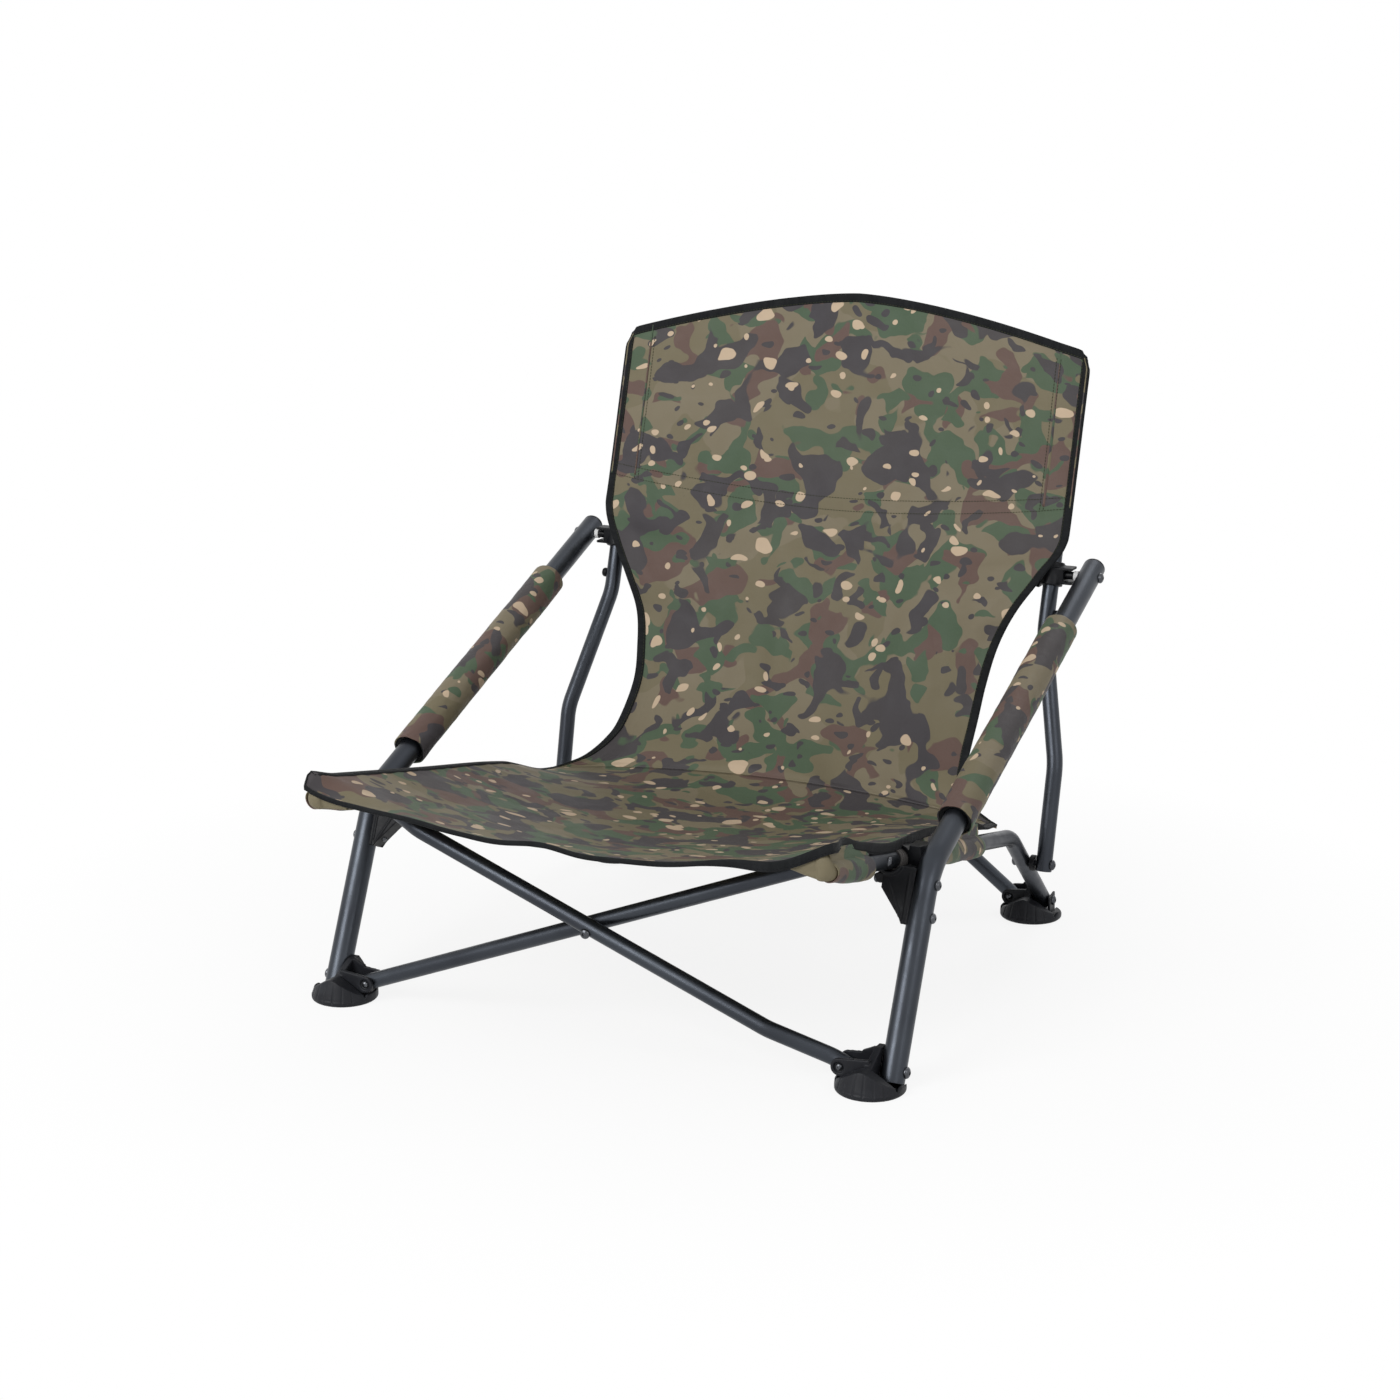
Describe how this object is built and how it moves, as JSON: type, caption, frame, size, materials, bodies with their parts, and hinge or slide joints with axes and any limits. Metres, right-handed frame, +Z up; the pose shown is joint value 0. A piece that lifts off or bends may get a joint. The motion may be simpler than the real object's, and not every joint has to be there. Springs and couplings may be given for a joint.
{
  "type": "low folding carp fishing chair",
  "caption": "Low folding fishing chair with a tube frame, a camouflage cloth seat and back, padded arms and round mud feet.",
  "frame": {"origin": "on the floor under the middle of the chair, halfway between its front and rear ends", "axes": "+X to the viewer's right when facing the seat, +Y to the rear, +Z up"},
  "size_m": [0.6736, 0.754, 0.6931],
  "materials": {
    "tube_steel": "satin gunmetal coating on steel tube",
    "dark_fasteners": "black plated steel with a low sheen",
    "black_plastic": "matte moulded nylon",
    "grey_plastic": "matte dark grey moulded ring",
    "camouflage_cloth": null,
    "pad_cover": null
  },
  "bodies": {
    "left_front_base": {"left_front_foot": "black_plastic", "left_front_foot_rivet": "dark_fasteners", "left_front_foot_pin": "dark_fasteners"},
    "left_arm": {"left_arm_leg_tube": "tube_steel", "left_arm_pad": "pad_cover", "left_arm_end_cap": "black_plastic", "left_saddle_bracket": "black_plastic", "left_saddle_bolt_upper": "dark_fasteners", "left_saddle_bolt_lower": "dark_fasteners", "left_arm_stud": "dark_fasteners"},
    "left_corner": {"left_corner_joint": "black_plastic", "left_corner_pin": "dark_fasteners"},
    "left_rail": {"left_seat_rail": "tube_steel", "left_rail_collar": "grey_plastic", "left_seat_sleeve": "camouflage_cloth", "left_pivot_bolt": "dark_fasteners", "left_pivot_spacer": "black_plastic", "seat_panel": "camouflage_cloth"},
    "left_upright": {"left_back_upright": "tube_steel", "left_stop_knob": "black_plastic", "back_panel": "camouflage_cloth"},
    "left_slider": {"left_slide_collar": "black_plastic"},
    "left_rear_base": {"left_rear_foot": "black_plastic", "left_rear_foot_rivet": "dark_fasteners", "left_rear_foot_pin": "dark_fasteners"},
    "left_yoke": {"left_rear_yoke": "black_plastic", "left_rear_yoke_pin": "dark_fasteners"},
    "right_front_base": {"right_front_foot": "black_plastic", "right_front_foot_rivet": "dark_fasteners", "right_front_foot_pin": "dark_fasteners"},
    "right_arm": {"right_arm_leg_tube": "tube_steel", "right_arm_pad": "pad_cover", "right_arm_end_cap": "black_plastic", "right_saddle_bracket": "black_plastic", "right_saddle_bolt_upper": "dark_fasteners", "right_saddle_bolt_lower": "dark_fasteners", "right_arm_stud": "dark_fasteners"},
    "right_corner": {"right_corner_joint": "black_plastic", "right_corner_pin": "dark_fasteners"},
    "right_rail": {"right_seat_rail": "tube_steel", "right_rail_collar": "grey_plastic", "right_seat_sleeve": "camouflage_cloth", "right_pivot_bolt": "dark_fasteners", "right_pivot_spacer": "black_plastic"},
    "right_upright": {"right_back_upright": "tube_steel", "right_stop_knob": "black_plastic"},
    "right_slider": {"right_slide_collar": "black_plastic"},
    "right_rear_base": {"right_rear_foot": "black_plastic", "right_rear_foot_rivet": "dark_fasteners", "right_rear_foot_pin": "dark_fasteners"},
    "right_yoke": {"right_rear_yoke": "black_plastic", "right_rear_yoke_pin": "dark_fasteners"},
    "front_cross_a": {"front_cross_straight": "tube_steel", "front_cross_pin": "dark_fasteners"},
    "front_cross_b": {"front_cross_bowed": "tube_steel"},
    "rear_cross_a": {"rear_cross_back": "tube_steel", "rear_cross_pin_back": "dark_fasteners"},
    "rear_cross_b": {"rear_cross_front": "tube_steel", "rear_cross_pin_front": "dark_fasteners"}
  },
  "joints": [
    {"name": "fold", "type": "hinge", "parent": "left_front_base", "child": "front_cross_a", "pos_m": [-0.27, -0.296, 0.0205], "axis": [0, -1, 0], "range_deg": [0, 54], "deforming": ["seat_panel", "back_panel"]},
    {"name": "front_cross_scissor", "type": "hinge", "parent": "front_cross_a", "child": "front_cross_b", "pos_m": [0, -0.296, 0.121], "axis": [0, -1, 0], "range_deg": [-108.05, 0]},
    {"name": "right_front_foot_pivot", "type": "hinge", "parent": "front_cross_b", "child": "right_front_base", "pos_m": [0.27, -0.296, 0.0205], "axis": [0, -1, 0], "range_deg": [0, 54.03]},
    {"name": "left_corner_pivot", "type": "hinge", "parent": "front_cross_b", "child": "left_corner", "pos_m": [-0.26, -0.296, 0.2265], "axis": [0, -1, 0], "range_deg": [0, 54.03]},
    {"name": "right_corner_pivot", "type": "hinge", "parent": "front_cross_a", "child": "right_corner", "pos_m": [0.26, -0.296, 0.2265], "axis": [0, -1, 0], "range_deg": [-54.03, 0]},
    {"name": "left_arm_pivot", "type": "hinge", "parent": "left_front_base", "child": "left_arm", "pos_m": [-0.318, -0.277, 0.018], "axis": [1, 0, 0], "range_deg": [0, 32.91]},
    {"name": "left_rail_pivot", "type": "hinge", "parent": "left_corner", "child": "left_rail", "pos_m": [-0.282, -0.276, 0.21883], "axis": [1, 0, 0], "range_deg": [-44.02, 0]},
    {"name": "left_upright_pivot", "type": "hinge", "parent": "left_rail", "child": "left_upright", "pos_m": [-0.307, 0.196, 0.088], "axis": [1, 0, 0], "range_deg": [0, 58.74]},
    {"name": "left_slider", "type": "slide", "parent": "left_upright", "child": "left_slider", "axis": [0, 0.293, 0.9561], "range_m": [0, 0.18118]},
    {"name": "left_rear_foot_pivot", "type": "hinge", "parent": "left_rail", "child": "left_rear_base", "pos_m": [-0.282, 0.273, 0.021], "axis": [1, 0, 0], "range_deg": [0, 45.81]},
    {"name": "right_arm_pivot", "type": "hinge", "parent": "right_front_base", "child": "right_arm", "pos_m": [0.318, -0.277, 0.018], "axis": [1, 0, 0], "range_deg": [0, 32.91]},
    {"name": "right_rail_pivot", "type": "hinge", "parent": "right_corner", "child": "right_rail", "pos_m": [0.282, -0.276, 0.21883], "axis": [1, 0, 0], "range_deg": [-44.02, 0]},
    {"name": "right_upright_pivot", "type": "hinge", "parent": "right_rail", "child": "right_upright", "pos_m": [0.307, 0.196, 0.088], "axis": [1, 0, 0], "range_deg": [0, 58.74]},
    {"name": "right_slider", "type": "slide", "parent": "right_upright", "child": "right_slider", "axis": [0, 0.293, 0.9561], "range_m": [0, 0.18118]},
    {"name": "right_rear_foot_pivot", "type": "hinge", "parent": "right_rail", "child": "right_rear_base", "pos_m": [0.282, 0.273, 0.021], "axis": [1, 0, 0], "range_deg": [0, 45.81]},
    {"name": "rear_cross_a_pivot", "type": "hinge", "parent": "left_rear_base", "child": "rear_cross_a", "pos_m": [-0.243, 0.279, 0.02], "axis": [0, -1, 0], "range_deg": [0, 43.06]},
    {"name": "rear_cross_b_pivot", "type": "hinge", "parent": "right_rear_base", "child": "rear_cross_b", "pos_m": [0.243, 0.279, 0.02], "axis": [0, -1, 0], "range_deg": [-43.06, 0]},
    {"name": "right_yoke_pivot", "type": "hinge", "parent": "rear_cross_a", "child": "right_yoke", "pos_m": [0.2435, 0.301, 0.392], "axis": [0, -1, 0], "range_deg": [-43.06, 0]},
    {"name": "left_yoke_pivot", "type": "hinge", "parent": "rear_cross_b", "child": "left_yoke", "pos_m": [-0.2435, 0.301, 0.392], "axis": [0, -1, 0], "range_deg": [0, 43.06]}
  ],
  "couplings": [
    {"joint": "front_cross_scissor", "follows": "fold", "ratio": -2},
    {"joint": "right_front_foot_pivot", "follows": "fold", "ratio": 1},
    {"joint": "left_corner_pivot", "follows": "fold", "ratio": 1},
    {"joint": "right_corner_pivot", "follows": "fold", "ratio": -1},
    {"joint": "left_arm_pivot", "follows": "fold", "ratio": 0.6092},
    {"joint": "left_rail_pivot", "follows": "fold", "ratio": -0.8148},
    {"joint": "left_upright_pivot", "follows": "fold", "ratio": 1.0872},
    {"joint": "left_slider", "follows": "fold", "m_per_rad": 0.19214},
    {"joint": "left_rear_foot_pivot", "follows": "fold", "ratio": 0.8479},
    {"joint": "right_arm_pivot", "follows": "fold", "ratio": 0.6092},
    {"joint": "right_rail_pivot", "follows": "fold", "ratio": -0.8148},
    {"joint": "right_upright_pivot", "follows": "fold", "ratio": 1.0872},
    {"joint": "right_slider", "follows": "fold", "m_per_rad": 0.19214},
    {"joint": "right_rear_foot_pivot", "follows": "fold", "ratio": 0.8479},
    {"joint": "rear_cross_a_pivot", "follows": "fold", "ratio": 0.797},
    {"joint": "rear_cross_b_pivot", "follows": "fold", "ratio": -0.797},
    {"joint": "right_yoke_pivot", "follows": "fold", "ratio": -0.797},
    {"joint": "left_yoke_pivot", "follows": "fold", "ratio": 0.797}
  ]
}
